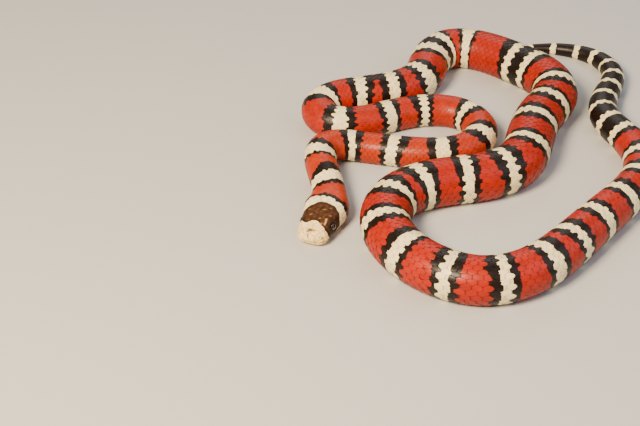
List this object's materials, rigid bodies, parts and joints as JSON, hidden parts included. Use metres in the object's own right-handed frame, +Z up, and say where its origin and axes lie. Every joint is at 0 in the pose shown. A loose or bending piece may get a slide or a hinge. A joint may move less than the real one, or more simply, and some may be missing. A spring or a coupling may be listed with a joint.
{
  "type": "milk snake",
  "caption": "Life-size still model of a red, black and cream banded milk snake lying folded on a floor, head resting on its chin.",
  "frame": {"origin": "middle of the animal's bounding box, on the floor that it lies on", "axes": "+Z up, +Y away from the viewer, the head points to -Y at the front left, +X to the viewer's right"},
  "size_m": [0.1302, 0.1778, 0.0156],
  "materials": {
    "head_scales": "smooth horny plates, satin gloss, cream with a black-brown cap",
    "body_scales": "smooth unkeeled scales, satin gloss, red, black and cream rings",
    "tail_scales": "smooth unkeeled scales, satin gloss, mostly black and cream rings",
    "eye": "wet, polished, dark"
  },
  "bodies": {
    "root": {"head": "head_scales", "eye_right": "eye", "eye_left": "eye", "neck": "body_scales", "body_01": "body_scales", "body_02": "body_scales", "body_03": "body_scales", "body_04": "body_scales", "body_05": "body_scales", "body_06": "body_scales", "body_07": "body_scales", "body_08": "body_scales", "body_09": "body_scales", "body_10": "body_scales", "body_11": "body_scales", "tail_1": "tail_scales", "tail_tip": "tail_scales"}
  },
  "joints": []
}
